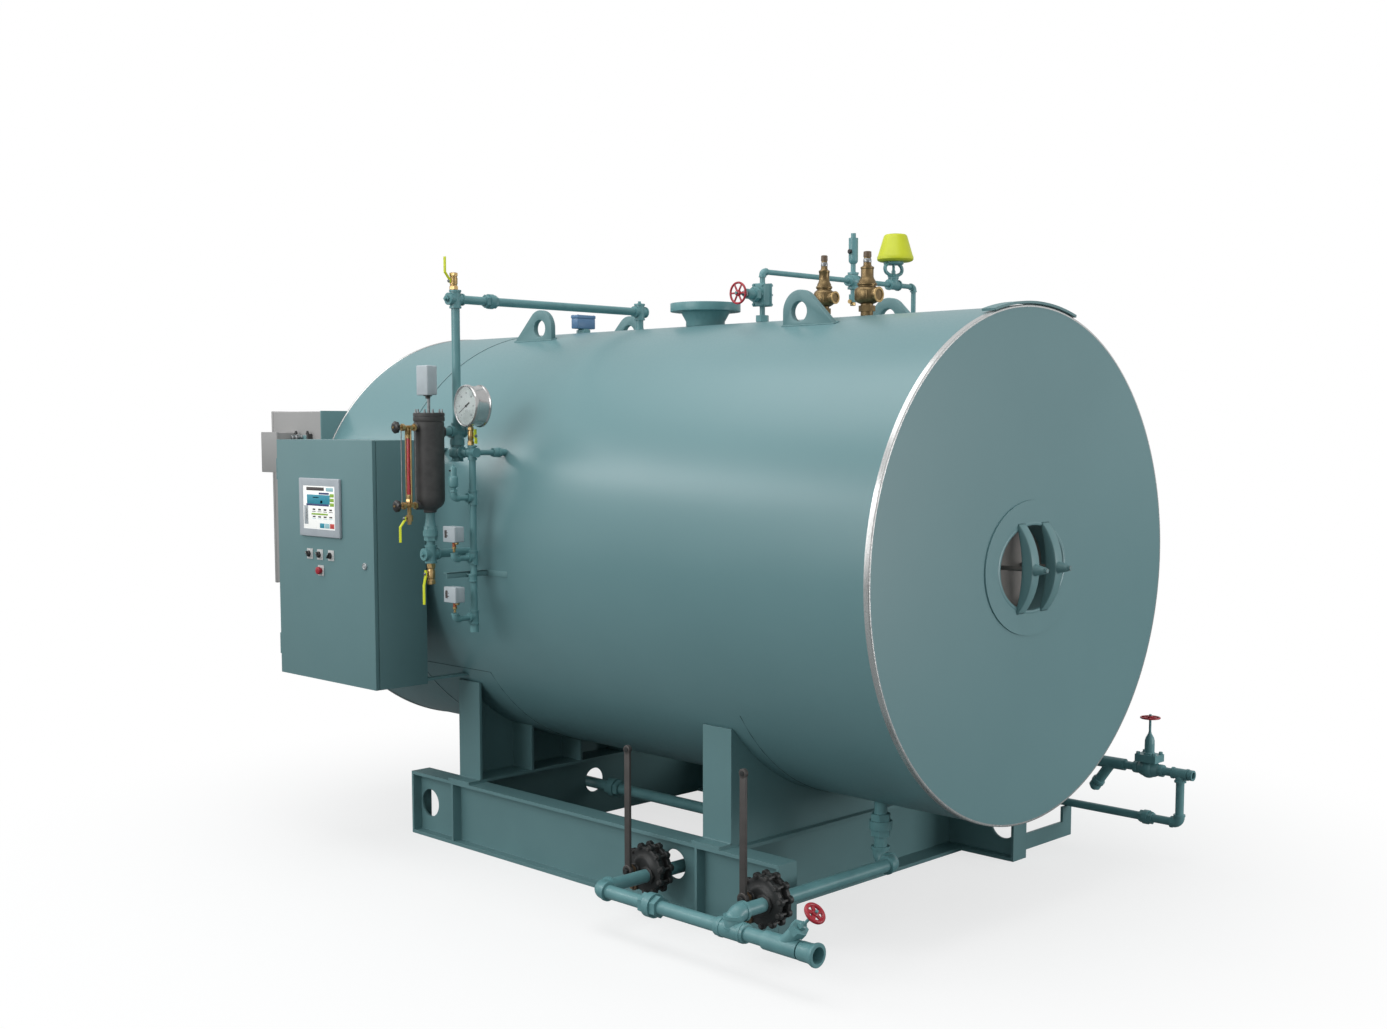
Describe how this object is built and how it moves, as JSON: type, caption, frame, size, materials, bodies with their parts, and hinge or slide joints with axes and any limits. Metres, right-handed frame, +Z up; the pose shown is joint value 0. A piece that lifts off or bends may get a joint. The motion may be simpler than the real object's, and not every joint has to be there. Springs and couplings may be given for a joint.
{
  "type": "industrial boiler",
  "caption": "Packaged horizontal industrial boiler on a steel skid, with a manway end, control cabinet, water column, feed line, safety valves and lever blowdown piping.",
  "frame": {"origin": "on the floor, under the middle of the rear cross member of the skid", "axes": "+X along the shell towards the manway end, -Y towards the operator's side, +Z up"},
  "size_m": [3.723, 2.4056, 2.6155],
  "materials": {
    "teal_enamel": "satin enamel sheet",
    "pipe_enamel": "brushed-on enamel over pipe",
    "cabinet_enamel": "satin powder coat",
    "grey_enamel": "satin powder coat",
    "pale_steel": "satin grey enamel",
    "bright_band": "bright rolled strip",
    "bronze": "cast bronze",
    "brass": "turned brass",
    "black_enamel": "black valve enamel",
    "dark_casting": "dark cast iron",
    "lever_steel": "dark painted flat steel",
    "red_enamel": "red handwheel enamel",
    "yellow_sleeve": "dipped vinyl",
    "yellow_cap": "moulded cover",
    "black_plastic": "moulded phenolic",
    "blue_box": "blue enamel",
    "glass": "clear tube",
    "screen": "screen in a pale bezel",
    "stop_red": "moulded button",
    "zinc_plate": "white sheet",
    "inner_steel": "primed steel plate"
  },
  "bodies": {
    "boiler": {"shell_jacket": "teal_enamel", "front_end_cover": "teal_enamel", "rear_end_cover": "teal_enamel", "trim_rings": "bright_band", "rear_top_strap": "teal_enamel", "manway_neck": "teal_enamel", "manway_plate": "inner_steel", "manway_yokes": "teal_enamel", "skid_beams": "teal_enamel", "cross_members": "teal_enamel", "saddles": "teal_enamel", "lifting_lugs": "teal_enamel", "steam_outlet": "pipe_enamel", "probe_box": "blue_box", "balance_line": "pipe_enamel", "water_column": "dark_casting", "level_control_box": "pale_steel", "column_water_leg": "pipe_enamel", "gauge_glass": "glass", "glass_cocks": "brass", "vent_valve": "brass", "column_drain_valve": "brass", "gauge_manifold": "pipe_enamel", "switch_nipples": "brass", "pressure_switches": "pale_steel", "pressure_transmitter": "bright_band", "pressure_gauge": "bright_band", "gauge_cock": "brass", "manifold_bracket": "teal_enamel", "control_cabinet": "cabinet_enamel", "mounting_plate": "zinc_plate", "cabinet_brackets": "teal_enamel", "element_housing": "grey_enamel", "junction_box": "pale_steel", "feed_line": "pipe_enamel", "actuator_yoke": "pipe_enamel", "feed_actuator": "yellow_cap", "safety_valves": "bronze", "feed_train": "pipe_enamel", "train_support": "teal_enamel", "drain_lines": "pipe_enamel", "blowdown_valves": "black_enamel", "blowdown_manifold": "pipe_enamel"},
    "door": {"cabinet_door": "cabinet_enamel", "operator_screen": "screen", "selector_knobs": "black_plastic", "stop_button": "stop_red", "door_latch": "bright_band"},
    "feed_wheel": {"feed_wheel": "red_enamel"},
    "train_wheel": {"train_wheel": "red_enamel"},
    "drain_wheel": {"drain_wheel": "red_enamel"},
    "front_blowdown_lever": {"front_blowdown_lever": "lever_steel"},
    "rear_blowdown_lever": {"rear_blowdown_lever": "lever_steel"},
    "vent_lever": {"vent_lever": "yellow_sleeve"},
    "gauge_cock_lever": {"gauge_cock_lever": "yellow_sleeve"},
    "glass_drain_lever": {"glass_drain_lever": "yellow_sleeve"},
    "column_drain_lever": {"column_drain_lever": "yellow_sleeve"},
    "glass_wheel_upper": {"glass_wheel_upper": "black_plastic"},
    "glass_wheel_lower": {"glass_wheel_lower": "black_plastic"}
  },
  "joints": [
    {"name": "door_hinge", "type": "hinge", "parent": "boiler", "child": "door", "pos_m": [-2.2153, -1.175, 1.221], "axis": [0, 0, -1], "range_deg": [0, 110]},
    {"name": "feed_wheel_turn", "type": "hinge", "parent": "boiler", "child": "feed_wheel", "pos_m": [-0.48, -0.143, 2.3025], "axis": [0, -1, 0], "range_deg": [0, 1440]},
    {"name": "train_wheel_turn", "type": "hinge", "parent": "boiler", "child": "train_wheel", "pos_m": [0.683, 1.0795, 0.594], "axis": [0, 0, 1], "range_deg": [0, 1440]},
    {"name": "drain_wheel_turn", "type": "hinge", "parent": "boiler", "child": "drain_wheel", "pos_m": [0.75082, -1.1, 0.28081], "axis": [0.7071, 0, 0.7071], "range_deg": [0, 1080]},
    {"name": "front_lever_swing", "type": "hinge", "parent": "boiler", "child": "front_blowdown_lever", "pos_m": [-0.308, -0.905, 0.162], "axis": [0, -1, 0], "range_deg": [0, 75]},
    {"name": "rear_lever_swing", "type": "hinge", "parent": "boiler", "child": "rear_blowdown_lever", "pos_m": [0.345, -0.989, 0.214], "axis": [0, -1, 0], "range_deg": [0, 75]},
    {"name": "vent_lever_swing", "type": "hinge", "parent": "boiler", "child": "vent_lever", "pos_m": [-1.2, -0.9992, 2.33897], "axis": [0, -1, 0], "range_deg": [0, 90]},
    {"name": "gauge_lever_swing", "type": "hinge", "parent": "boiler", "child": "gauge_cock_lever", "pos_m": [-1.0933, -0.9825, 1.74087], "axis": [-1, 0, 0], "range_deg": [0, 90]},
    {"name": "glass_lever_swing", "type": "hinge", "parent": "boiler", "child": "glass_drain_lever", "pos_m": [-1.2, -1.2245, 1.427], "axis": [0, 1, 0], "range_deg": [0, 90]},
    {"name": "column_lever_swing", "type": "hinge", "parent": "boiler", "child": "column_drain_lever", "pos_m": [-1.2, -1.1322, 1.20718], "axis": [0, 1, 0], "range_deg": [0, 90]},
    {"name": "glass_upper_turn", "type": "hinge", "parent": "boiler", "child": "glass_wheel_upper", "pos_m": [-1.2, -1.2685, 1.774], "axis": [0, -1, 0], "range_deg": [0, 720]},
    {"name": "glass_lower_turn", "type": "hinge", "parent": "boiler", "child": "glass_wheel_lower", "pos_m": [-1.2, -1.2685, 1.475], "axis": [0, -1, 0], "range_deg": [0, 720]}
  ]
}
